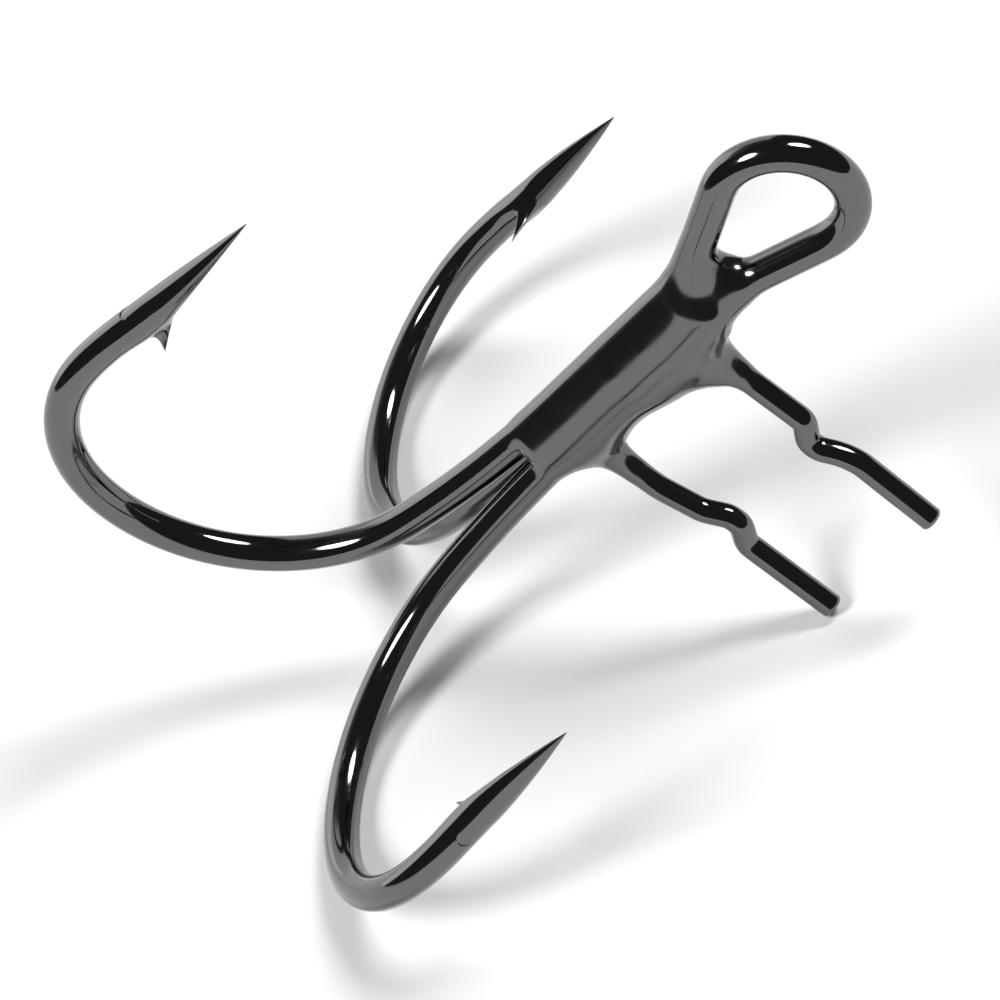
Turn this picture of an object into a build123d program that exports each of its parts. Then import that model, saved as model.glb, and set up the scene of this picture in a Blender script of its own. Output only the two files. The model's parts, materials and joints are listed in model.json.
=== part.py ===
from build123d import *
from math import atan2, cos, degrees, pi, radians, sin, sqrt, tan
import os

# T-pattern treble hook with a bait-pin staple: three round-bend hooks brazed side by side.
# One hook is ringed and carries the line eye, two are eyeless and point in opposite directions,
# and a wire staple on the shank's fourth side holds a soft bait.
#
# The hook is drawn in its own shank frame, then laid down as it rests on a table:
#   Z  up the shank towards the eye, 0 where the bends begin
#   X  towards the ringed hook's bend, so the pins leave towards -X
#   Y  towards the second side hook's bend
# Lengths in mm, angles in degrees.

# ---- driving dimensions ----
wire_d = 1.5            # hook wire
pin_d = 1.04            # bait-pin wire
film = 0.075            # braze film between neighbouring wires
braze_skin = 0.12       # braze over the wires' outer sides

# bend, as three tangent arcs from the shank to the point
lead_r, lead_turn = 49.0, 10.9
heel_r, heel_turn = 8.42, 97.8
ringed_throat_r, ringed_throat_turn, ringed_point_run = 6.62, 76.4, 10.45
side_throat_r, side_throat_turn, side_point_run = 6.83, 75.0, 9.75

# ground needle at the end of the point run
needle_len = 6.0
needle_tip_d = 0.12
needle_tip_out = 0.1    # the tip stands this far off the wire's axis, away from the shank
waist_at, waist_d = 0.5, 0.9    # share of the needle's length, and thickness there
# barb, cut up from the wire's inner side; distances are measured back from the tip
barb_front = 6.0
barb_rear = 7.5
barb_tip = 8.1
barb_high = 1.0         # above the wire's surface
barb_thick = 0.5
barb_root_depth = 0.45  # how far the thorn's root reaches into the wire

# eye ring, bent in the ringed hook's own plane
side_shank_top = 9.45   # where the two eyeless shanks are cut off
eye_r = 2.66            # centreline radius of the ring
eye_x, eye_z = 0.89, 15.6
neck_lean, leg_lean = 21.0, 18.5
neck_r = 4.5
leg_end_z = 9.95        # centre of the returning leg's cut end

# bait-pin staple
pin_yaw = 14.0          # the staple leans this far towards the second side hook
pin_reach = 13.25       # from the shank's axis to the pins' cut ends
pin_corner_r = 0.9
# each pin: height at its root and at its cut end; between them its bends as (reach, height, radius)
low_pin = {
    "root_z": -0.38,
    "tip_z": 0.05,
    "bends": [(4.4, -0.34, 3.0), (6.4, 0.06, 1.2), (7.35, 0.66, 0.9), (7.95, 0.66, 0.9), (8.7, 0.05, 0.9)],
}
high_pin = {
    "root_z": 6.98,
    "tip_z": 6.86,
    "bends": [(6.5, 7.0, 0.9), (7.2, 6.3, 0.75), (7.75, 6.28, 0.75), (8.75, 6.92, 0.9), (10.4, 7.08, 3.0)],
}

# braze
braze_low_z = -1.8
crotch_z = 11.7         # bottom of the eye's opening
crotch_r = 0.75
ring_braze_thick = 1.2
saddle_low_z, saddle_high_z = -1.5, 8.1
collar_r, collar_reach = 1.6, 4.2
collar_skin = 0.06
collar_half_width = 1.5

wire_r = wire_d / 2
pin_r = pin_d / 2
pitch = wire_d + film                       # centre distance of the bundled wires
ringed_x = pitch * sqrt(3) / 2              # ringed shank
side_y = pitch / 2                          # eyeless shanks at +-side_y, X = 0
staple_x = -sqrt((wire_r + pin_r + film) ** 2 - side_y**2)
side_throat = (side_throat_r, side_throat_turn)
ringed_throat = (ringed_throat_r, ringed_throat_turn)


def planar(x, z):
    """A point of a hook's plane: x outwards from its shank, z up the shank."""
    return Vector(x, 0, z)


def arc_to(start, heading, radius, turn):
    """Tangent arc in the X-Z plane; heading in degrees from +X, positive turns anticlockwise."""
    side = 1 if turn > 0 else -1
    centre_angle = radians(heading + 90 * side)
    centre = start + planar(cos(centre_angle), sin(centre_angle)) * radius
    begin = degrees(atan2(start.Z - centre.Z, start.X - centre.X))

    def on_arc(angle):
        return centre + planar(cos(radians(angle)), sin(radians(angle))) * radius

    end = on_arc(begin + turn)
    return ThreePointArc(start, on_arc(begin + turn / 2), end), end, heading + turn


def run_to(start, heading, length):
    """Straight run in the X-Z plane."""
    end = start + planar(cos(radians(heading)), sin(radians(heading))) * length
    return Line(start, end), end


def round_wire(path, diameter):
    """Solid of constant round section along a wire."""
    section = Plane(origin=path @ 0, z_dir=path % 0) * Circle(diameter / 2)
    return sweep(section, path=path)


def bend_path(top_z, throat, point_run):
    """Shank, bend and point run, up to where the needle is ground; returns its end too.

    throat is the last arc's radius and turn."""
    edges = [Line(planar(0, top_z), planar(0, 0))]
    at, heading = planar(0, 0), -90.0
    for radius, turn in ((lead_r, lead_turn), (heel_r, heel_turn), throat):
        edge, at, heading = arc_to(at, heading, radius, turn)
        edges.append(edge)
    edge, at = run_to(at, heading, point_run - needle_len)
    edges.append(edge)
    return edges, at, heading


def point_frame(heading):
    """Direction of the point run and the direction towards the shank, across it."""
    along = planar(cos(radians(heading)), sin(radians(heading)))
    inward = planar(-sin(radians(heading)), cos(radians(heading)))
    return along, inward


def needle(at, heading):
    """Ground needle point on the end of the wire, its tip a little away from the shank."""
    along, inward = point_frame(heading)

    def ground(share, diameter):
        origin = at + along * needle_len * share - inward * needle_tip_out * share
        return Plane(origin=origin, z_dir=along) * Circle(diameter / 2)

    return loft([ground(0, wire_d), ground(waist_at, waist_d), ground(1, needle_tip_d)])


def barb(at, heading):
    """Thorn on the inner side of the wire, leaning back from the point."""
    along, inward = point_frame(heading)
    root = wire_r - barb_root_depth
    corners = [(barb_front, root), (barb_tip, wire_r + barb_high), (barb_rear, root)]
    points = [at + along * (needle_len - back) + inward * height for back, height in corners]
    return extrude(make_face(Polyline(points, close=True)), barb_thick / 2, both=True)


def eye_path():
    """Ring from the shank's neck, around the eye and down the returning leg, in shank-local X."""
    centre = planar(eye_x - ringed_x, eye_z)
    neck, leg = radians(neck_lean), radians(180 + leg_lean)
    ring_in = centre + planar(cos(-neck), sin(-neck)) * eye_r
    ring_out = centre + planar(cos(leg), sin(leg)) * eye_r
    top = (leg - neck) / 2
    ring = ThreePointArc(ring_in, centre + planar(cos(top), sin(top)) * eye_r, ring_out)
    # the neck line runs down from the ring until it crosses the shank's axis
    drop = ring_in.X / tan(neck)
    corner_z = ring_in.Z - drop
    tangent = neck_r * tan(neck / 2)
    shank_top = planar(0, corner_z - tangent)
    bend, bend_end, _ = arc_to(shank_top, 90, neck_r, -neck_lean)
    leg_run = (ring_out.Z - leg_end_z) / cos(radians(leg_lean))
    leg_end = ring_out + planar(sin(radians(leg_lean)), -cos(radians(leg_lean))) * leg_run
    return shank_top, [bend, Line(bend_end, ring_in), ring, Line(ring_out, leg_end)]


def ringed_hook():
    """The hook that carries the eye; one length of wire from the eye to the point."""
    shank_top, eye = eye_path()
    bend, at, heading = bend_path(shank_top.Z, ringed_throat, ringed_point_run)
    wire = round_wire(Wire(bend), wire_d) + round_wire(Wire(eye), wire_d)
    hook = wire + needle(at, heading) + barb(at, heading)
    return Pos(ringed_x, 0, 0) * hook


def side_hook(side):
    """An eyeless hook; side is +1 or -1 along Y."""
    bend, at, heading = bend_path(side_shank_top, side_throat, side_point_run)
    hook = round_wire(Wire(bend), wire_d) + needle(at, heading) + barb(at, heading)
    return Pos(0, side * side_y, 0) * Rot(0, 0, side * 90) * hook


def pin_route(pin):
    """One pin's corners in the staple's own plane, from the staple's corner to its cut end."""
    corners = [(-staple_x, pin["root_z"])]
    corners += [(reach, height) for reach, height, _ in pin["bends"]]
    corners += [(pin_reach, pin["tip_z"])]
    return [planar(x, z) for x, z in corners]


def pin_radii(pin):
    """Bend radii at the corners of a pin's route, from the staple's corner outwards."""
    return [pin_corner_r] + [radius for _, _, radius in pin["bends"]]


def on_staple(shape):
    """Place a shape drawn in the staple's plane, X outwards from the shank's axis."""
    return Pos(staple_x, 0, 0) * Rot(0, 0, 180 - pin_yaw) * Pos(staple_x, 0, 0) * shape


def staple():
    """U of thinner wire: a bridge in the groove between the eyeless shanks, and two kinked pins."""
    route = pin_route(low_pin)[::-1] + pin_route(high_pin)
    radii = pin_radii(low_pin)[::-1] + pin_radii(high_pin)
    path = FilletPolyline(*route, radius=radii)
    return on_staple(round_wire(path, pin_d))


def hull_block(circles, low_z, high_z):
    """Straight block over a bundle of round sections, given as (x, y, radius)."""
    rings = [Pos(x, y, 0) * Circle(r) for x, y, r in circles]
    outline = make_hull([edge for ring in rings for edge in ring.edges()])
    return extrude(Pos(0, 0, low_z) * outline, high_z - low_z)


def shank_block():
    """Everything inside the shank braze's outer skin, wires included."""
    skin = wire_r + braze_skin
    hooks = [(ringed_x, 0, skin), (0, side_y, skin), (0, -side_y, skin)]
    bridge = (staple_x, 0, pin_r + braze_skin)
    sleeve = hull_block(hooks, braze_low_z, side_shank_top + braze_skin)
    return sleeve + hull_block(hooks[1:] + [bridge], saddle_low_z, saddle_high_z)


def pin_collar(pin):
    """Braze trumpet around a pin's root, no wider than the shank."""
    rim = pin_r + collar_skin
    foot = -staple_x - pin_r
    rise = collar_reach - foot
    profile = make_face([
        Line((0, foot), (rim + collar_r, foot)),
        ThreePointArc(
            (rim + collar_r, foot),
            (rim + collar_r * (1 - sin(pi / 4)), foot + rise * (1 - cos(pi / 4))),
            (rim, collar_reach),
        ),
        Line((rim, collar_reach), (0, collar_reach)),
        Line((0, collar_reach), (0, foot)),
    ])
    trumpet = Rot(0, 0, -90) * revolve(profile, Axis.Y)
    well_past = 4 * collar_reach
    slab = Box(well_past, 2 * collar_half_width, well_past)
    return on_staple(Pos(0, 0, pin["root_z"]) * (trumpet & slab))


def largest(shape):
    """The main solid, without slivers left where two braze deposits run into each other."""
    return shape.solids().sort_by(SortBy.VOLUME)[-1]


def ring_braze():
    """Braze that closes the ring, between the neck and the returning leg."""
    low = side_shank_top + braze_skin
    high = crotch_z + crotch_r
    neck, leg = radians(neck_lean), radians(leg_lean)

    def neck_x(z):
        """Centreline of the neck at height z."""
        return eye_x + eye_r * cos(neck) - (eye_z - eye_r * sin(neck) - z) * tan(neck)

    def leg_x(z):
        """Centreline of the returning leg at height z."""
        return eye_x - eye_r * cos(leg) + (eye_z - eye_r * sin(leg) - z) * tan(leg)

    outline = Polyline(
        (neck_x(low), low), (neck_x(high), high), (leg_x(high), high),
        (leg_x(leg_end_z), leg_end_z), (leg_x(leg_end_z) - wire_r, low), close=True,
    )
    block = extrude(Plane.XZ * make_face(outline), ring_braze_thick / 2, both=True)
    crotch_x = (neck_x(high) + leg_x(high)) / 2
    hollow = Pos(crotch_x, 0, high) * Rot(90, 0, 0) * Cylinder(crotch_r, 2 * ring_braze_thick)
    return block - hollow


def laying_angle(lowest_bend_z):
    """Lean of the shank from upright that rests both side bends and the low pin's tip on a table."""
    pin_dir = Vector(-cos(radians(pin_yaw)), sin(radians(pin_yaw)), 0)
    reach = pin_reach + staple_x
    tip = Vector(staple_x, 0, low_pin["tip_z"]) + pin_dir * reach
    low, high = 0.0, 90.0
    halvings = 60
    for _ in range(halvings):
        lean = (low + high) / 2
        up = Vector(sin(radians(lean)), 0, cos(radians(lean)))
        tip_height = tip.dot(up) - pin_r * sqrt(1 - up.dot(pin_dir) ** 2)
        bend_height = lowest_bend_z * up.Z - wire_r
        if tip_height > bend_height:
            low = lean
        else:
            high = lean
    return lean


wires = {
    "ringed_hook": ringed_hook(),
    "side_hook_1": side_hook(-1),
    "side_hook_2": side_hook(+1),
    "bait_pin_staple": staple(),
}
block = shank_block()
deposits = {
    "shank_braze": block,
    "ring_braze": ring_braze(),
    "low_pin_braze": pin_collar(low_pin) - block,
    "high_pin_braze": pin_collar(high_pin) - block,
}
for wire in wires.values():
    deposits = {name: shape - wire for name, shape in deposits.items()}
deposits = {name: largest(shape) for name, shape in deposits.items()}
pieces = {**wires, **deposits}

# lay the hook down: both side bends and the low pin's tip touch Z = 0
side_bend = Wire(bend_path(side_shank_top, side_throat, side_point_run)[0])
lean = laying_angle(side_bend.bounding_box().min.Z)
laid = {name: Rot(0, -lean, 0) * shape for name, shape in pieces.items()}
boxes = [shape.bounding_box() for shape in laid.values()]
middle_x = (min(b.min.X for b in boxes) + max(b.max.X for b in boxes)) / 2
middle_y = (min(b.min.Y for b in boxes) + max(b.max.Y for b in boxes)) / 2
floor_z = min(b.min.Z for b in boxes)
place = Pos(-middle_x, -middle_y, -floor_z)

os.makedirs("parts", exist_ok=True)
for name, shape in laid.items():
    print(name, round(shape.volume, 3), [round(v.volume, 4) for v in shape.solids()])
    export_step(place * shape, f"parts/{name}.step")
print("lean from upright", round(lean, 2))
print("shank origin", place.position.X, place.position.Y, place.position.Z)
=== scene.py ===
"""T-pattern treble hook with a bait-pin staple, lying on a white studio floor."""

import json

import bpy
import numpy as np
from mathutils import Matrix, Vector


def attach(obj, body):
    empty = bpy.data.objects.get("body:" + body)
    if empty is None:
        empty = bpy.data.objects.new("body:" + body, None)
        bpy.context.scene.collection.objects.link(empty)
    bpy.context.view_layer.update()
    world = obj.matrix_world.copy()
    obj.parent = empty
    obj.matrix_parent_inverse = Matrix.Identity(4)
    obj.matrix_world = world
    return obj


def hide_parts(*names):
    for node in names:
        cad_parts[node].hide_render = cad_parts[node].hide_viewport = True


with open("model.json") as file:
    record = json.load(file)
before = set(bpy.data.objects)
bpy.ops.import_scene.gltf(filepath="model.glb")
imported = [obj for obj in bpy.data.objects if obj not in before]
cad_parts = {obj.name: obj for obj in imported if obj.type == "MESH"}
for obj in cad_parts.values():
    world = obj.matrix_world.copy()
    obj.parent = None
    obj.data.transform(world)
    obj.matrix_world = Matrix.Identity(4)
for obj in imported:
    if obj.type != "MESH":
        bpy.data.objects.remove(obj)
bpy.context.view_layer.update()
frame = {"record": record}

MM = 0.001
rad = np.radians

# ---- the hook's own dimensions in mm, as in its CAD ----
WIRE_R, PIN_R = 0.75, 0.52      # hook wire and pin wire
FILM = 0.075                    # braze between two wires that lie side by side
PITCH = 2 * WIRE_R + FILM
RINGED_X = PITCH * np.sqrt(3) / 2
SIDE_Y = PITCH / 2
STAPLE_X = -np.sqrt((WIRE_R + PIN_R + FILM) ** 2 - SIDE_Y**2)
EYE_X, EYE_Z, EYE_R = 0.89, 15.6, 2.66
NECK_LEAN, LEG_LEAN, NECK_R = 21.0, 18.5, 4.5
LEG_END_Z = 9.95
SIDE_TOP_Z = 8.7                # the side wires' cut tops, sunk in the braze
BEND = [(49.0, 10.9), (8.42, 97.8)]  # radius and turn of the two arcs that all the bends share
RINGED_THROAT_R, RINGED_TURN, RINGED_RUN = 6.62, 76.4, 10.45
SIDE_THROAT_R, SIDE_TURN, SIDE_RUN = 6.83, 75.0, 9.75
PIN_YAW, PIN_REACH = 14.0, 13.25


# ---- the camera, first ----
def shank_placement():
    """Matrix from the shank's frame (mm) to the row's frame (m), read off the record's mounts."""
    mounts = {m["name"]: m for m in frame["record"]["mounts"]}
    along = mounts["low_bait_pin"]["axis"]
    lean = np.arctan2(-along[2], -along[0])
    turn = Matrix.Rotation(-lean, 4, "Y")
    eye = Vector(mounts["line_eye"]["pos_m"])
    offset = eye - turn @ (Vector((EYE_X, 0, EYE_Z)) * MM)
    return Matrix.Translation(offset) @ turn @ Matrix.Scale(MM, 4)


PLACE = np.array(shank_placement())


def placed(points):
    """Shank-frame points in mm to row-frame points in metres."""
    points = np.asarray(points, float)
    return points @ PLACE[:3, :3].T + PLACE[:3, 3]


# place in metres, direction ahead and direction up
CAMERA_AT = (-0.07327, 0.17513, 0.19081)
CAMERA_AHEAD = (0.28211, -0.66169, -0.69468)
CAMERA_UP = (-0.16627, -0.74685, 0.64386)
SENSOR_MM, LENS_MM = 36.0, 231.75
CLIP_NEAR, CLIP_FAR = 0.01, 20.0


def make_camera():
    """Long lens about 19 cm above the table, rolled about the line of sight."""
    data = bpy.data.cameras.new("camera")
    data.sensor_width, data.lens = SENSOR_MM, LENS_MM
    data.clip_start, data.clip_end = CLIP_NEAR, CLIP_FAR
    camera = bpy.data.objects.new("camera", data)
    bpy.context.collection.objects.link(camera)
    bpy.context.scene.camera = camera
    ahead = Vector(CAMERA_AHEAD).normalized()
    right = ahead.cross(Vector(CAMERA_UP).normalized()).normalized()
    up = right.cross(ahead)
    turn = Matrix((right, up, -ahead)).transposed().to_4x4()
    camera.matrix_world = Matrix.Translation(CAMERA_AT) @ turn


make_camera()


# ---- wire centrelines ----
def curved_run(pieces, step, blend):
    """Curvature along a planar wire of (length, turn in degrees) pieces, eased over blend."""
    ends = np.cumsum([length for length, _ in pieces])
    s = np.arange(0, ends[-1] + step / 2, step)
    bend = np.zeros_like(s)
    start = 0.0
    for (length, turn), end in zip(pieces, ends):
        bend[(s >= start) & (s < end)] = rad(turn) / length
        start = end
    width = max(1, int(round(blend / step)))
    kernel = np.ones(width) / width
    for _ in range(2):
        bend = np.convolve(np.pad(bend, width, mode="edge"), kernel, mode="same")[width:-width]
    return bend


def integrate(start, heading, bend, step):
    """Points of a planar curve from its curvature; heading in radians from +x, y is second."""
    angle = heading + np.concatenate([[0], np.cumsum((bend[1:] + bend[:-1]) / 2 * step)])
    dx, dy = np.cos(angle), np.sin(angle)
    x = start[0] + np.concatenate([[0], np.cumsum((dx[1:] + dx[:-1]) / 2 * step)])
    y = start[1] + np.concatenate([[0], np.cumsum((dy[1:] + dy[:-1]) / 2 * step)])
    return np.c_[x, y]


STEP = 0.02
BLEND, EYE_BLEND = 2.0, 0.7     # lengths over which the curvature eases
BEND_LEAD = 2.0                 # straight shank drawn with each bend
SHANK_POINTS = 375              # of a side wire above that


def bend_line(throat_r, throat_turn, point_run):
    """From BEND_LEAD up the shank round the bend to the point's tip, x outwards, z up."""
    pieces = [(r * rad(t), t) for r, t in BEND + [(throat_r, throat_turn)]]
    bend = curved_run([(BEND_LEAD, 0.0)] + pieces + [(point_run, 0.0)], STEP, BLEND)
    return integrate((0.0, BEND_LEAD), -np.pi / 2, bend, STEP)


def eye_line():
    """From z = 0 up the shank, through the neck, round the ring and down the returning leg."""
    neck, leg = rad(NECK_LEAN), rad(LEG_LEAN)
    centre = np.array([EYE_X - RINGED_X, EYE_Z])
    ring_in = centre + EYE_R * np.array([np.cos(neck), -np.sin(neck)])
    corner_z = ring_in[1] - ring_in[0] / np.tan(neck)
    tangent = NECK_R * np.tan(neck / 2)
    straight = (ring_in[0] / np.sin(neck)) - tangent
    leg_run = (EYE_Z - EYE_R * np.sin(leg) - LEG_END_Z) / np.cos(leg)
    pieces = [
        (corner_z - tangent, 0.0), (NECK_R * neck, -NECK_LEAN), (straight, 0.0),
        (EYE_R * (np.pi + neck + leg), 180 + NECK_LEAN + LEG_LEAN), (leg_run, 0.0),
    ]
    bend = curved_run(pieces, STEP, EYE_BLEND)
    return integrate((0.0, 0.0), np.pi / 2, bend, STEP)


def ringed_line():
    """The ringed hook's wire, from the end of the leg below its eye to the point's tip."""
    below = bend_line(RINGED_THROAT_R, RINGED_TURN, RINGED_RUN)[int(BEND_LEAD / STEP):]
    return np.vstack([eye_line()[:0:-1], below])


def side_line():
    """A side hook's wire, from its cut top to the point's tip."""
    shank = np.c_[np.zeros(SHANK_POINTS), np.linspace(SIDE_TOP_Z, BEND_LEAD, SHANK_POINTS)]
    return np.vstack([shank[:-1], bend_line(SIDE_THROAT_R, SIDE_TURN, SIDE_RUN)])


def resampled(line, spacing):
    """Points along a fine planar line at the given spacing function of the distance from its end."""
    steps = np.linalg.norm(np.diff(line, axis=0), axis=1)
    s = np.concatenate([[0], np.cumsum(steps)])
    back = s[-1]
    stations = [0.0]
    while stations[-1] < back:
        stations.append(stations[-1] + spacing(back - stations[-1]))
    stations = np.array(stations) * back / stations[-1]

    def at(where):
        return np.c_[np.interp(where, s, line[:, 0]), np.interp(where, s, line[:, 1])]

    tangent = at(stations + STEP / 2) - at(stations - STEP / 2)
    tangent /= np.linalg.norm(tangent, axis=1)[:, None]
    return at(stations), tangent, back - stations


# ---- sections along a hook's wire ----
AROUND = 72                     # points round a hook's wire
CROWD = 0.55                    # how far they are crowded towards the side with the barb
# places along the wire are distances back from the tip
POINT_LEN = 6.0                 # ground taper, seen from the side
TIP_IN, TIP_R = -0.1, 0.02      # the tip stands away from the shank
OUTER_FROM, OUTER_EASE = 8.6, 0.15  # taper of the outer side, and the share of it that is rounded off
SIDE_POWER = 1.5
FLARE = 0.2                     # the inner side swells towards the barb
FLARE_BEFORE, FLARE_FADE = 0.6, 2.6  # and fades over this stretch round the barb
BARB_FROM, BARB_AT, BARB_REAR = 6.3, 7.25, 0.5
BARB_EASE = 0.3                 # the barb's front starts to rise this much ahead of BARB_FROM
BARB_LEAN, BARB_HIGH, BARB_HALF = 0.9, 1.05, 0.42
BARB_PINCH = 0.35               # how much narrower the wire's points stand at the barb's top
FRONT_POWER, REAR_POWER, FLANK_POWER, LEAN_POWER = 1.5, 2, 1.25, 1.15
KEEL = 0.22                     # sharpness of the inner edge between tip and barb
KEEL_IN, KEEL_OUT = (0.3, 2.5), (5.2, BARB_AT)


def around():
    """Angles round the wire, crowded towards 0, the side that faces the shank."""
    u = 2 * np.pi * np.arange(AROUND) / AROUND
    return u - CROWD * np.sin(u)


def smooth(x, low, high):
    """0 below low, 1 above high, eased between."""
    t = np.clip((x - low) / (high - low), 0, 1)
    return t * t * (3 - 2 * t)


def eased_ramp(t):
    """Straight from 0 to 1, rounded off over its last part."""
    t = np.clip(t, 0, 1 + OUTER_EASE)
    return np.where(t < 1 - OUTER_EASE, t, 1 - (1 + OUTER_EASE - t) ** 2 / (4 * OUTER_EASE))


def hook_sections(to_tip):
    """Offsets of the wire's surface towards the shank and sideways, for each ring and angle.

    to_tip is the distance along the wire from each ring to the tip. The third result is how far
    back from the tip each point of the barb leans."""
    angle = around()
    inner_side = np.cos(angle)
    q = to_tip[:, None]
    back = np.clip(q / POINT_LEN, 0, 1)
    # the ground point tapers evenly on its inner side and eases in on its outer side
    outer = TIP_R - TIP_IN + (WIRE_R + TIP_IN - TIP_R) * eased_ramp(q / OUTER_FROM)
    inner = TIP_IN + TIP_R + (WIRE_R + FLARE - TIP_IN - TIP_R) * np.clip(q / BARB_FROM, 0, 1)
    fade = smooth(smooth(q, BARB_AT - FLARE_BEFORE, BARB_AT + FLARE_FADE), 0, 1)
    inner = np.where(q > BARB_FROM, WIRE_R + FLARE * (1 - fade), inner)
    side = (WIRE_R - TIP_R) * (1 - (1 - back) ** SIDE_POWER) + TIP_R
    x = (inner - outer) / 2 + (inner + outer) / 2 * inner_side
    keel = KEEL * smooth(q, *KEEL_IN) * (1 - smooth(q, *KEEL_OUT))
    y = side * np.sin(angle) * (1 - keel * np.clip(inner_side, 0, 1))
    # the barb: a thorn drawn up from the wire's inner side, steep at its rear
    run_up = BARB_AT - BARB_FROM + BARB_EASE
    front = np.clip((q - BARB_FROM + BARB_EASE) / run_up, 0, 1) ** FRONT_POWER
    rear = np.clip(1 - (q - BARB_AT) / BARB_REAR, 0, 1) ** REAR_POWER
    rise = BARB_HIGH * np.where(q < BARB_AT, front, rear)
    thorn = rise * np.clip(1 - np.abs(y) / BARB_HALF, 0, 1) ** FLANK_POWER
    share = np.clip(thorn / BARB_HIGH, 0, 1)
    x = x + np.where(inner_side > 0, thorn, 0)
    y = y * (1 - BARB_PINCH * share)
    return x, y, BARB_LEAN * share**LEAN_POWER


def grid_faces(rings, count):
    """Quads of a tube of rings, each with the same count of points."""
    i, j = np.meshgrid(np.arange(rings - 1), np.arange(count), indexing="ij")
    a = i * count + j
    b = i * count + (j + 1) % count
    return np.stack([a, b, b + count, a + count], -1).reshape(-1, 4)


def tube(points, inward, binormal, x, y):
    """Vertices of a tube: each ring stands across the line, x along inward and y along binormal."""
    return points[:, None, :] + x[..., None] * inward[:, None, :] + y[..., None] * binormal


def outward(vertices, faces):
    """The faces, turned round if together they enclose a negative volume."""
    fans = np.array([(f[0], p, q) for f in faces for p, q in zip(f[1:], f[2:])])
    a, b, c = (vertices[fans[:, k]] for k in (0, 1, 2))
    volume = np.einsum("ij,ij->i", a, np.cross(b, c)).sum()
    return faces if volume > 0 else [list(f)[::-1] for f in faces]


def mesh_piece(name, vertices, faces, material):
    """A smooth-shaded mesh object of the root body from shank-frame points."""
    mesh = bpy.data.meshes.new(name)
    faces = outward(vertices, faces)
    faces = [tuple(int(i) for i in face) for face in faces]
    mesh.from_pydata([tuple(v) for v in placed(vertices)], [], faces)
    mesh.shade_smooth()
    mesh.materials.append(material)
    piece = bpy.data.objects.new(name, mesh)
    bpy.context.collection.objects.link(piece)
    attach(piece, "root")
    return piece


def capped(faces, rings, count):
    """The tube's faces with one more over each of its two ends."""
    start = [list(range(count))[::-1]]
    end = [list(range((rings - 1) * count, rings * count))]
    return [list(f) for f in faces] + start + end


# ring spacing: finest round the barb, fine on the point, coarse on the plain wire
BARB_RINGS, BARB_STRETCH = 0.035, (5.0, 8.0)
POINT_RINGS, POINT_STRETCH = 0.07, 10.5
WIRE_RINGS = 0.2


def hook_piece(name, node, line, yaw, offset, barb_reach, material):
    """One hook of a planar centreline, turned about the shank and moved to its place.

    barb_reach is the length of its point and barb against the ringed hook's."""
    def spacing(back):
        if BARB_STRETCH[0] < back < BARB_STRETCH[1]:
            return BARB_RINGS
        return POINT_RINGS if back <= POINT_STRETCH else WIRE_RINGS

    points, tangent, to_tip = resampled(line, spacing)
    x, y, lean = hook_sections(to_tip / barb_reach)
    side = np.array([-np.sin(rad(yaw)), np.cos(rad(yaw)), 0.0])
    out = np.array([np.cos(rad(yaw)), np.sin(rad(yaw)), 0.0])
    up = np.array([0.0, 0.0, 1.0])
    points3 = points[:, :1] * out + points[:, 1:] * up + np.array(offset)
    along = tangent[:, :1] * out + tangent[:, 1:] * up
    inward = -tangent[:, 1:] * out + tangent[:, :1] * up
    vertices = tube(points3, inward, side, x, y) - lean[..., None] * along[:, None, :]
    vertices = vertices.reshape(-1, 3)
    faces = capped(grid_faces(len(points), AROUND), len(points), AROUND)
    piece = mesh_piece(name, vertices, faces, material)
    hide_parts(node)


def fillet_line(corners, radii, step):
    """A dense planar line through straight runs joined by tangent arcs.

    A corner that has no radius only gives the arc before it its direction."""
    corners = [np.array(c, float) for c in corners]
    out = [corners[0]]
    for before, corner, after, radius in zip(corners, corners[1:], corners[2:], radii):
        u = (before - corner) / np.linalg.norm(before - corner)
        v = (after - corner) / np.linalg.norm(after - corner)
        half = np.arccos(np.clip(u @ v, -1, 1)) / 2
        reach = radius / np.tan(half)
        centre = corner + (u + v) / np.linalg.norm(u + v) * radius / np.sin(half)
        first, last = corner + u * reach, corner + v * reach
        a0 = np.arctan2(*(first - centre)[::-1])
        a1 = np.arctan2(*(last - centre)[::-1])
        sweep = (a1 - a0 + np.pi) % (2 * np.pi) - np.pi
        for t in np.linspace(0, 1, max(3, int(abs(sweep) * radius / step))):
            out.append(centre + radius * np.array([np.cos(a0 + sweep * t), np.sin(a0 + sweep * t)]))
    out.append(corners[-1])
    line = np.array(out)
    s = np.concatenate([[0], np.cumsum(np.linalg.norm(np.diff(line, axis=0), axis=1))])
    even = np.arange(0, s[-1], step)
    even = np.append(even, s[-1])
    return np.c_[np.interp(even, s, line[:, 0]), np.interp(even, s, line[:, 1])]


def eased(line, width):
    """The line with its curvature changes softened over width points, its ends kept."""
    kernel = np.hanning(width + 2)[1:-1]
    kernel /= kernel.sum()
    pad = width // 2
    first = 2 * line[0] - line[pad:0:-1]
    last = 2 * line[-1] - line[-2:-pad - 2:-1]
    full = np.vstack([first, line, last])
    return np.c_[[np.convolve(full[:, k], kernel, mode="valid") for k in (0, 1)]].T[: len(line)]


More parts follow.
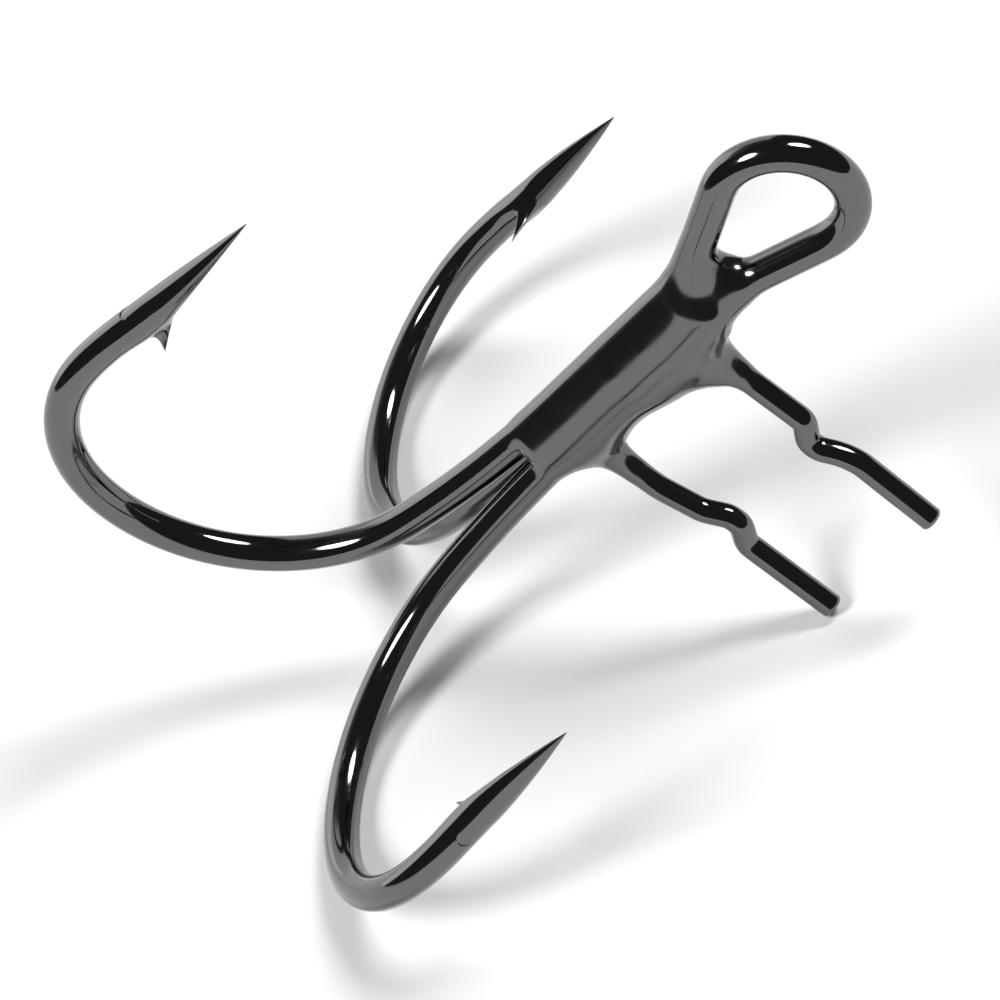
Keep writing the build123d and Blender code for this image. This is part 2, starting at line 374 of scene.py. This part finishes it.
# each pin's corners as reach and height, from the bridge to the cut end, and the bends at them;
# the high pin has no bend at its last corner and runs straight from its kink to its cut end
LOW_PIN = [
    (-STAPLE_X, -0.38), (4.4, -0.34), (6.4, 0.06), (7.35, 0.66), (7.95, 0.66), (8.7, 0.05),
    (PIN_REACH, 0.05),
]
LOW_BENDS = [0.9, 3.0, 1.2, 0.5, 0.5, 0.6]
HIGH_PIN = [
    (-STAPLE_X, 6.98), (6.5, 7.0), (7.2, 6.3), (7.75, 6.28), (8.75, 6.92), (10.4, 7.08),
    (PIN_REACH, 6.86),
]
HIGH_BENDS = [0.9, 0.5, 0.5, 0.8, 3.0]
PIN_STEP, PIN_EASE = 0.04, 13   # the line's step, and how many steps each bend is softened over
PIN_RINGS, PIN_AROUND = 0.09, 48
CUT_EDGE = 0.07                 # rounding of the cut ends
PIN_OUT = np.array([-np.cos(rad(PIN_YAW)), np.sin(rad(PIN_YAW))])


def staple_line():
    """The staple's centreline in its own plane, from the low pin's cut end to the high pin's."""
    corners = LOW_PIN[::-1] + HIGH_PIN
    bends = LOW_BENDS[::-1] + HIGH_BENDS
    return eased(fillet_line(corners, bends, PIN_STEP), PIN_EASE)


def staple_piece(line, material):
    """The bait-pin staple: round wire through its bridge and both kinked pins."""
    points, tangent, back = resampled(line, lambda q: PIN_RINGS)
    out = np.array([*PIN_OUT, 0.0])
    up = np.array([0.0, 0.0, 1.0])
    side = np.cross(out, up)
    hinge = np.array([STAPLE_X, 0.0, 0.0])
    points3 = hinge + (points[:, :1] + STAPLE_X) * out + points[:, 1:] * up
    inward = -tangent[:, 1:] * out + tangent[:, :1] * up
    angle = 2 * np.pi * np.arange(PIN_AROUND) / PIN_AROUND
    from_end = np.clip(np.minimum(back, back[0] - back) / CUT_EDGE, 0, 1)
    radius = PIN_R - CUT_EDGE * (1 - np.sqrt(np.clip(1 - (1 - from_end) ** 2, 0, 1)))
    x = radius[:, None] * np.cos(angle)
    y = radius[:, None] * np.sin(angle)
    vertices = tube(points3, inward, side, x, y).reshape(-1, 3)
    faces = capped(grid_faces(len(points), PIN_AROUND), len(points), PIN_AROUND)
    piece = mesh_piece("bait_pins", vertices, faces, material)
    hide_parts("bait_pin_staple")


# ---- material ----
TINT_DARK, TINT_LIGHT = (0.137, 0.137, 0.140, 1), (0.153, 0.152, 0.153, 1)
# noise scales in cycles per metre with their detail, and bump depths in metres
HAZE, MOTTLING, GRAIN, WAVES = (900, 3), (350, 2), (9000, 4), (700, 1)
NOISE_RANGE = (0.3, 0.7)        # what the noise mostly stays within
GRAIN_STRENGTH, GRAIN_DEPTH, WAVE_DEPTH = 0.05, 2e-6, 2e-5


def black_nickel(name, waviness, haze_low, haze_high):
    """Bright black nickel: a dark mirror with fine grain, soft waves, faint mottling and haze."""
    material = bpy.data.materials.new(name)
    material.use_nodes = True
    tree = material.node_tree
    shader = tree.nodes["Principled BSDF"]
    shader.inputs["Metallic"].default_value = 1.0

    def noise(scale, detail):
        """Value noise in the object's own space."""
        place = tree.nodes.new("ShaderNodeTexCoord")
        made = tree.nodes.new("ShaderNodeTexNoise")
        made.inputs["Scale"].default_value = scale
        made.inputs["Detail"].default_value = detail
        tree.links.new(place.outputs["Object"], made.inputs["Vector"])
        return made.outputs["Fac"]

    def spread(value, low, high):
        """The noise's usual range spread over low to high."""
        made = tree.nodes.new("ShaderNodeMapRange")
        limits = (*NOISE_RANGE, low, high)
        for socket, limit in zip(("From Min", "From Max", "To Min", "To Max"), limits):
            made.inputs[socket].default_value = limit
        tree.links.new(value, made.inputs["Value"])
        return made.outputs[0]

    def bump(height, strength, depth):
        made = tree.nodes.new("ShaderNodeBump")
        made.inputs["Strength"].default_value = strength
        made.inputs["Distance"].default_value = depth
        tree.links.new(height, made.inputs["Height"])
        return made

    tree.links.new(spread(noise(*HAZE), haze_low, haze_high), shader.inputs["Roughness"])
    tint = tree.nodes.new("ShaderNodeMix")
    tint.data_type = "RGBA"
    tint.inputs[6].default_value = TINT_DARK
    tint.inputs[7].default_value = TINT_LIGHT
    tree.links.new(noise(*MOTTLING), tint.inputs[0])
    tree.links.new(tint.outputs[2], shader.inputs["Base Color"])
    grain = bump(noise(*GRAIN), GRAIN_STRENGTH, GRAIN_DEPTH)
    waves = bump(noise(*WAVES), waviness, WAVE_DEPTH)
    tree.links.new(grain.outputs[0], waves.inputs["Normal"])
    tree.links.new(waves.outputs[0], shader.inputs["Normal"])
    return material


plating = black_nickel("black_nickel", 0.04, 0.05, 0.10)
braze_plating = black_nickel("black_nickel_on_braze", 0.08, 0.12, 0.19)


# ---- braze: one smooth skin over the wires, the level surface of their blended distances ----
CELL = 0.09


def planar_distance_squared(line, a, b):
    """Squared in-plane distance from points (a, b) to a polyline of a few long segments."""
    best = np.full(a.shape, np.inf)
    for p, q in zip(line[:-1], line[1:]):
        d = q - p
        t = np.clip(((a - p[0]) * d[0] + (b - p[1]) * d[1]) / (d @ d), 0, 1)
        best = np.minimum(best, (a - p[0] - t * d[0]) ** 2 + (b - p[1] - t * d[1]) ** 2)
    return best


def thinned(line, tolerance=0.002):
    """A dense planar line reduced to the segments its curvature needs."""
    keep = [0]
    while keep[-1] < len(line) - 1:
        i = keep[-1]
        j = len(line) - 1
        while j > i + 1:
            d = line[j] - line[i]
            from_i = line[i:j] - line[i]
            off = np.abs(from_i[:, 0] * d[1] - from_i[:, 1] * d[0]) / np.hypot(*d)
            if off.max() < tolerance:
                break
            j = i + max(1, (j - i) // 2)
        keep.append(j)
    return line[keep]


def soft_union(fields, k):
    """Smooth least of several distances: everything within about k of two surfaces is filled in."""
    stack = np.array(fields)
    low = stack.min(axis=0)
    return low - k * np.log(np.exp(-(stack - low) / k).sum(axis=0))


ringed = ringed_line()
side = side_line()
staple = staple_line()

BRAZE_LOW, BRAZE_HIGH = -5.6, 14.6  # heights that braze may reach
SHANK_SIDE = 4.0                # nearer than this the ringed wire is shank, further out its point
# each side wire is followed up to BAR_HIGH; from there its braze leans in to the eye's crotch
BAR_HIGH = 8.0
BAR_SHOULDER = [(-0.85, 10.3), (0.0, 9.35)]
BRIDGE_LOW, BRIDGE_HIGH = 0.3, 6.3
ROOT_FROM, ROOT_TO = 1.1, 5.9   # reach of the pin roots
LOW_ROOT_BELOW, HIGH_ROOT_ABOVE = 0.2, 6.8


def braze_lines():
    """The stretches of centreline that braze may lie on."""
    ring_at = np.argmax(ringed[:, 1])
    leg = ringed[:ring_at]
    neck = ringed[ring_at:]
    leg = thinned(leg[leg[:, 1] < BRAZE_HIGH])
    upright = (neck[:, 1] < BRAZE_HIGH) & (neck[:, 1] > BRAZE_LOW) & (neck[:, 0] < SHANK_SIDE)
    neck = thinned(neck[upright])
    bar = thinned(side[(side[:, 1] > BRAZE_LOW) & (side[:, 1] < BAR_HIGH)])
    bar = np.vstack([BAR_SHOULDER, bar])
    bridge = np.array([(-STAPLE_X, BRIDGE_LOW), (-STAPLE_X, BRIDGE_HIGH)])
    roots = staple[(staple[:, 0] > ROOT_FROM) & (staple[:, 0] < ROOT_TO)]
    low_root = thinned(roots[roots[:, 1] < LOW_ROOT_BELOW])
    high_root = thinned(roots[roots[:, 1] > HIGH_ROOT_ABOVE])
    return leg, neck, bar, bridge, low_root, high_root


LEG, NECK, BAR, BRIDGE, LOW_ROOT, HIGH_ROOT = braze_lines()
# a web of braze fills the eye's crotch
WEB_R = 0.78
WEB = np.array([(-0.9, 10.75), (-0.25, 10.75), (-0.3, 9.6), (-0.9, 9.6)])
# and a gusset stands under the high pin's root
GUSSET_R = 0.30
GUSSET = np.array([(1.1, 4.0), (1.7, 5.3), (2.5, 6.3)])
# the rods of braze in the two grooves between the ringed and the side hooks, moved outwards
GROOVE_OUT, GROOVE_WAY = 0.26, (0.5, 0.866)
GROOVE_AT = (RINGED_X / 2 + GROOVE_OUT * GROOVE_WAY[0], SIDE_Y / 2 + GROOVE_OUT * GROOVE_WAY[1])
GROOVE_R, GROOVE_LOW, GROOVE_HIGH = 0.61, -1.25, 8.9
# and in the two between the side hooks and the staple's bridge
BACK_OUT, BACK_WAY = 0.13, (-0.585, 0.81)
BACK_AT = (STAPLE_X / 2 + BACK_OUT * BACK_WAY[0], SIDE_Y / 2 + BACK_OUT * BACK_WAY[1])
BACK_R, BACK_LOW, BACK_HIGH = 0.62, -0.6, 8.6
# softness of the fillets: what it is on bare wire, and what is added in the joint
CROTCH_SOFT, SHANK_SOFT, GUSSET_SOFT, PIN_SOFT = (0.02, 0.26), (0.03, 0.27), (0.03, 0.3), (0.03, 0.45)
HIGH_PIN_SOFTER = 0.2
# the stretches over which they change: heights up the shank, or reach out along the pins
CROTCH_TOP = (11.0, 13.4)
SHANK_FOOT, SHANK_TOP = (-3.2, -1.4), (10.5, 13.0)
GUSSET_END = (2.6, 4.6)
PINS_FOOT, PINS_END, PINS_MIDDLE = (-3.4, -1.4), (3.2, 4.6), (2.5, 4.5)
# the skin stands proud of the wires within these stretches and is sunk in bare wire beyond
SKIN_PROUD, SKIN_SUNK = 0.02, 0.006
SKIN_FOOT, SKIN_TOP, SKIN_END = (-2.6, -1.6), (10.5, 12.5), (3.0, 4.2)
# where it is closed off
CLOSED = 0.8
CLOSED_FOOT, CLOSED_TOP, CLOSED_END = (-5.0, -3.9), (13.0, 14.1), (4.4, 5.4)


def rod(line, radius, a, b, off):
    """Distance to a rod along a planar line, from places (a, b) in its plane and off beside it."""
    return np.sqrt(planar_distance_squared(line, a, b) + off * off) - radius


def upright_rods(x, y, z, at, radius, low, high):
    """Distance to a pair of upright rods, one on either side of the ringed hook's plane."""
    along = np.maximum(0, np.maximum(low - z, z - high))
    return np.sqrt((x - at[0]) ** 2 + (np.abs(y) - at[1]) ** 2 + along**2) - radius


def braze_field(p):
    """Signed distance-like value in mm, negative inside the braze."""
    x, y, z = p[..., 0], p[..., 1], p[..., 2]
    # reach out along the pins, and the distance off the staple's plane
    u = (x - STAPLE_X) * PIN_OUT[0] + y * PIN_OUT[1] - STAPLE_X
    off = -(x - STAPLE_X) * PIN_OUT[1] + y * PIN_OUT[0]
    neck = rod(NECK, WIRE_R, x - RINGED_X, z, y)
    leg = rod(LEG, WIRE_R, x - RINGED_X, z, y)
    web = rod(WEB, WEB_R, x - RINGED_X, z, y)
    bar_1 = rod(BAR, WIRE_R, -(y + SIDE_Y), z, x)
    bar_2 = rod(BAR, WIRE_R, y - SIDE_Y, z, x)
    bridge = rod(BRIDGE, PIN_R, u, z, off)
    low_pin = rod(LOW_ROOT, PIN_R, u, z, off)
    high_pin = rod(HIGH_ROOT, PIN_R, u, z, off)
    gusset = rod(GUSSET, GUSSET_R, u, z, off)
    groove = upright_rods(x, y, z, GROOVE_AT, GROOVE_R, GROOVE_LOW, GROOVE_HIGH)
    back = upright_rods(x, y, z, BACK_AT, BACK_R, BACK_LOW, BACK_HIGH)

    soft = CROTCH_SOFT[0] + CROTCH_SOFT[1] * (1 - smooth(z, *CROTCH_TOP))
    crotch = soft_union([neck, leg, web], soft)
    soft = SHANK_SOFT[0] + SHANK_SOFT[1] * smooth(z, *SHANK_FOOT) * (1 - smooth(z, *SHANK_TOP))
    shank = soft_union([crotch, bar_1, bar_2, groove, back, bridge], soft)
    soft = GUSSET_SOFT[1] * (1 - smooth(u, *GUSSET_END)) + GUSSET_SOFT[0]
    high_pin = soft_union([high_pin, gusset], soft)
    added = PIN_SOFT[1] + HIGH_PIN_SOFTER * smooth(z, *PINS_MIDDLE)
    soft = PIN_SOFT[0] + added * smooth(z, *PINS_FOOT) * (1 - smooth(u, *PINS_END))
    filled = soft_union([shank, low_pin, high_pin], soft)

    proud = SKIN_PROUD * smooth(z, *SKIN_FOOT) * (1 - smooth(z, *SKIN_TOP))
    skin = proud * (1 - smooth(u, *SKIN_END)) - SKIN_SUNK
    closed = (1 - smooth(z, *CLOSED_FOOT)) + smooth(z, *CLOSED_TOP) + smooth(u, *CLOSED_END)
    return filled - skin + CLOSED * closed


def level_surface(field, low, high, cell):
    """Closed quad mesh of field = 0 inside a box, one vertex in each cell that the surface crosses."""
    counts = np.ceil((np.array(high) - low) / cell).astype(int) + 1
    axes = [low[k] + cell * np.arange(counts[k]) for k in range(3)]
    value = np.empty(counts)
    for i, x in enumerate(axes[0]):
        p = np.stack(np.meshgrid([x], axes[1], axes[2], indexing="ij"), -1)
        value[i] = field(p)[0]
    # outside on the box's own faces, so that the mesh closes there
    for k in range(3):
        edge = [slice(None)] * 3
        for end in (0, -1):
            edge[k] = end
            value[tuple(edge)] = np.maximum(value[tuple(edge)], 0.5 * cell)
    inside = value < 0
    cells = tuple(counts - 1)
    total = np.zeros(cells + (3,))
    number = np.zeros(cells)
    for k in range(3):
        others = [a for a in range(3) if a != k]
        a = np.take(value, range(counts[k] - 1), axis=k)
        b = np.take(value, range(1, counts[k]), axis=k)
        cross = (a < 0) != (b < 0)
        t = np.where(cross, a / np.where(cross, a - b, 1), 0)
        for m in (0, 1):
            for n in (0, 1):
                pick = [slice(None)] * 3
                pick[others[0]] = slice(m, m + cells[others[0]])
                pick[others[1]] = slice(n, n + cells[others[1]])
                c, tt = cross[tuple(pick)], t[tuple(pick)]
                shift = np.zeros(3)
                shift[others[0]], shift[others[1]] = m, n
                total += c[..., None] * shift
                total[..., k] += c * tt
                number += c
    used = number > 0
    index = np.full(cells, -1)
    index[used] = np.arange(used.sum())
    where = np.argwhere(used)
    vertices = np.array(low) + cell * (where + total[used] / number[used][:, None])
    faces = []
    for k in range(3):
        u, v = (k + 1) % 3, (k + 2) % 3
        a = np.take(inside, range(counts[k] - 1), axis=k)
        b = np.take(inside, range(1, counts[k]), axis=k)
        at = np.argwhere(a != b)
        at = at[(at[:, u] > 0) & (at[:, v] > 0) & (at[:, u] < cells[u]) & (at[:, v] < cells[v])]
        step_u, step_v = np.eye(3, dtype=int)[u], np.eye(3, dtype=int)[v]
        corners = [at - step_u - step_v, at - step_v, at, at - step_u]
        quad = np.stack([index[tuple(c.T)] for c in corners], -1)
        forward = a[tuple(at.T)]
        quad = np.where(forward[:, None], quad, quad[:, ::-1])
        faces.append(quad)
    return vertices, np.vstack(faces)


def slope(field, p, reach=0.02):
    """Central-difference gradient of the field at the points."""
    out = np.empty_like(p)
    for k in range(3):
        step = np.zeros(3)
        step[k] = reach
        out[:, k] = (field(p + step) - field(p - step)) / (2 * reach)
    return out


LEAST_SLOPE_SQUARED, TINY = 0.05, 1e-9


def settled(field, vertices, rounds=3):
    """Vertices pulled onto field = 0, by a cell at most in each round, and the surface normals."""
    for _ in range(rounds):
        g = slope(field, vertices)
        steepness = np.maximum((g * g).sum(axis=1), LEAST_SLOPE_SQUARED)
        move = (field(vertices) / steepness)[:, None] * g
        length = np.linalg.norm(move, axis=1)[:, None]
        vertices = vertices - move * np.minimum(1, CELL / np.maximum(length, TINY))
    return vertices, g / np.maximum(np.linalg.norm(g, axis=1), TINY)[:, None]


def lidded(vertices, normals, faces):
    """The skin with a fan over each open rim where it was cut from its neighbour."""
    rim = {}
    for face in faces:
        for a, b in zip(face, face[1:] + face[:1]):
            if a in rim.get(b, []):
                rim[b].remove(a)
            else:
                rim.setdefault(a, []).append(b)
    # walk each rim against the skin's own direction, so that the lid faces outwards
    ahead = {}
    for a, ends in rim.items():
        for b in ends:
            ahead.setdefault(b, []).append(a)
    vertices, normals, faces = list(vertices), list(normals), list(faces)
    while ahead:
        loop = [next(iter(ahead))]
        while ahead.get(loop[-1]):
            step = ahead[loop[-1]].pop()
            if not ahead[loop[-1]]:
                del ahead[loop[-1]]
            loop.append(step)
        middle = len(vertices)
        vertices.append(np.mean([vertices[i] for i in loop[:-1]], axis=0))
        normals.append(np.array([0.0, 0.0, 1.0]))
        faces += [[a, b, middle] for a, b in zip(loop[:-1], loop[1:])]
    return np.array(vertices), np.array(normals), faces


BOX_LOW, BOX_HIGH = np.array([-5.8, -2.8, -5.2]), np.array([4.8, 2.8, 14.4])
RIM = 1.2 * CELL                # vertices this near the box's faces stay where they are
# where the skin is cut: out from the shank, between the two pins, and below the eye's crotch
PINS_CUT, LOW_HIGH_CUT, RING_CUT = 1.9, 3.5, 10.0


def braze_pieces(material):
    """The skin, cut into the braze of the shank, the eye's crotch and the two pin roots."""
    vertices, faces = level_surface(braze_field, BOX_LOW, BOX_HIGH, CELL)
    free = np.all((vertices > BOX_LOW + RIM) & (vertices < BOX_HIGH - RIM), axis=1)
    moved, normals = settled(braze_field, vertices)
    vertices = np.where(free[:, None], moved, vertices)
    middle = vertices[faces].mean(axis=1)
    pins = middle[:, :2] @ PIN_OUT > PINS_CUT
    on_pin = np.where(middle[:, 2] < LOW_HIGH_CUT, 2, 3)
    group = np.where(pins, on_pin, np.where(middle[:, 2] > RING_CUT, 1, 0))
    for number, node in enumerate(("shank_braze", "ring_braze", "low_pin_braze", "high_pin_braze")):
        own = faces[group == number]
        used, flat = np.unique(own, return_inverse=True)
        own = flat.reshape(own.shape)
        v, n, own = lidded(vertices[used], normals[used], own.tolist())
        piece = mesh_piece(node + "_skin", v, own, material)
        turned = n @ (PLACE[:3, :3].T / MM)
        piece.data.normals_split_custom_set_from_vertices([tuple(n) for n in turned])
        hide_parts(node)


hook_piece("ringed_hook_wire", "ringed_hook", ringed, 0, (RINGED_X, 0, 0), 1.0, plating)
hook_piece("side_hook_1_wire", "side_hook_1", side, -90, (0, -SIDE_Y, 0), 0.91, plating)
hook_piece("side_hook_2_wire", "side_hook_2", side, 90, (0, SIDE_Y, 0), 0.96, plating)
staple_piece(staple, plating)
braze_pieces(braze_plating)


# ---- studio ----
FLOOR_R, FLOOR_SIDES, FLOOR_WHITE, FLOOR_ROUGHNESS = 0.17, 96, (0.9, 0.9, 0.9, 1), 0.9


def make_floor():
    """A round white sheet under the hook."""
    mesh = bpy.data.meshes.new("floor")
    turn = 2 * np.pi * np.arange(FLOOR_SIDES) / FLOOR_SIDES
    rim = [(FLOOR_R * np.cos(t), FLOOR_R * np.sin(t), 0.0) for t in turn]
    mesh.from_pydata(rim, [], [list(range(FLOOR_SIDES))])
    floor = bpy.data.objects.new("floor", mesh)
    bpy.context.collection.objects.link(floor)
    material = bpy.data.materials.new("floor_white")
    material.use_nodes = True
    shader = material.node_tree.nodes["Principled BSDF"]
    shader.inputs["Base Color"].default_value = FLOOR_WHITE
    shader.inputs["Roughness"].default_value = FLOOR_ROUGHNESS
    mesh.materials.append(material)


make_floor()


SOFTBOX_FAR = 0.9               # from the hook's middle, which is a little above the floor
HOOK_MIDDLE = Vector((0, 0, 0.01))


def on_dome(azimuth, elevation):
    """A direction from the hook, azimuth from +X towards +Y, both in degrees."""
    az, el = rad(azimuth), rad(elevation)
    return Vector((np.cos(el) * np.cos(az), np.cos(el) * np.sin(az), np.sin(el)))


def softbox(name, azimuth, elevation, wide, high, radiance):
    """An elliptical softbox facing the hook; wide and high are the angles that it fills."""
    data = bpy.data.lights.new(name, "AREA")
    data.shape = "ELLIPSE"
    data.size = 2 * SOFTBOX_FAR * np.tan(rad(wide / 2))
    data.size_y = 2 * SOFTBOX_FAR * np.tan(rad(high / 2))
    data.energy = radiance * np.pi * (np.pi / 4 * data.size * data.size_y)
    lamp = bpy.data.objects.new(name, data)
    bpy.context.collection.objects.link(lamp)
    way = on_dome(azimuth, elevation)
    lamp.location = way * SOFTBOX_FAR + HOOK_MIDDLE
    lamp.rotation_euler = (-way).to_track_quat("-Z", "Y").to_euler()


for name, azimuth, elevation in (("softbox_right", 47, 48.5), ("softbox_left", 208, 54)):
    softbox(name, azimuth, elevation, wide=18, high=25, radiance=20)


# the white wall: its two sides, its top edge, the glow above it and its brighter part, in degrees
WALL_FROM, WALL_TO, WALL_TOP, GLOW_TOP, BRIGHT_FROM = (-87, -83), (-13, -9), (29, 42), (35, 65), (-51, -47)
TOP_TONE, GLOW_TONE, ROOM_TONE = 0.88, 0.12, 0.06
PLAIN_TONE, BRIGHT_TONE = 0.9, 1.65


def studio_world():
    """A dark room with one white wall, and plain white where the camera looks past the floor."""
    world = bpy.data.worlds.new("studio")
    bpy.context.scene.world = world
    world.use_nodes = True
    tree = world.node_tree
    tree.nodes.clear()
    link = tree.links.new

    def node(kind, **settings):
        made = tree.nodes.new(kind)
        for key, value in settings.items():
            setattr(made, key, value)
        return made

    def math(operation, *values):
        made = node("ShaderNodeMath", operation=operation)
        for socket, value in zip(made.inputs, values):
            if isinstance(value, (int, float)):
                socket.default_value = value
            else:
                link(value, socket)
        return made.outputs[0]

    def ramp(angle, limits, start, end):
        """From start to end, eased, between two limits of the angle in degrees."""
        made = node("ShaderNodeMapRange", interpolation_type="SMOOTHSTEP")
        link(angle, made.inputs["Value"])
        numbers = (*rad(limits), start, end)
        for name, number in zip(("From Min", "From Max", "To Min", "To Max"), numbers):
            made.inputs[name].default_value = number
        return made.outputs[0]

    coordinates = node("ShaderNodeTexCoord")
    split = node("ShaderNodeSeparateXYZ")
    link(coordinates.outputs["Generated"], split.inputs[0])
    azimuth = math("ARCTAN2", split.outputs[1], split.outputs[0])
    elevation = math("ARCSINE", split.outputs[2])
    side_in = ramp(azimuth, WALL_FROM, 0, 1)
    side_out = ramp(azimuth, WALL_TO, 1, 0)
    top = ramp(elevation, WALL_TOP, TOP_TONE, 0)
    glow = ramp(elevation, GLOW_TOP, GLOW_TONE, 0)
    tone = ramp(azimuth, BRIGHT_FROM, PLAIN_TONE, BRIGHT_TONE)
    height = math("MULTIPLY", tone, math("ADD", top, glow))
    wall = math("MULTIPLY", math("MULTIPLY", side_in, side_out), height)
    room = math("ADD", wall, ROOM_TONE)
    path = node("ShaderNodeLightPath")
    seen = node("ShaderNodeMix", data_type="FLOAT")
    link(path.outputs["Is Camera Ray"], seen.inputs[0])
    link(room, seen.inputs[2])
    seen.inputs[3].default_value = 1.0
    background = node("ShaderNodeBackground")
    link(seen.outputs[0], background.inputs["Strength"])
    output = node("ShaderNodeOutputWorld")
    link(background.outputs[0], output.inputs[0])
    background.inputs["Color"].default_value = (1, 1, 1, 1)


studio_world()
bpy.context.scene.view_settings.view_transform = "Standard"
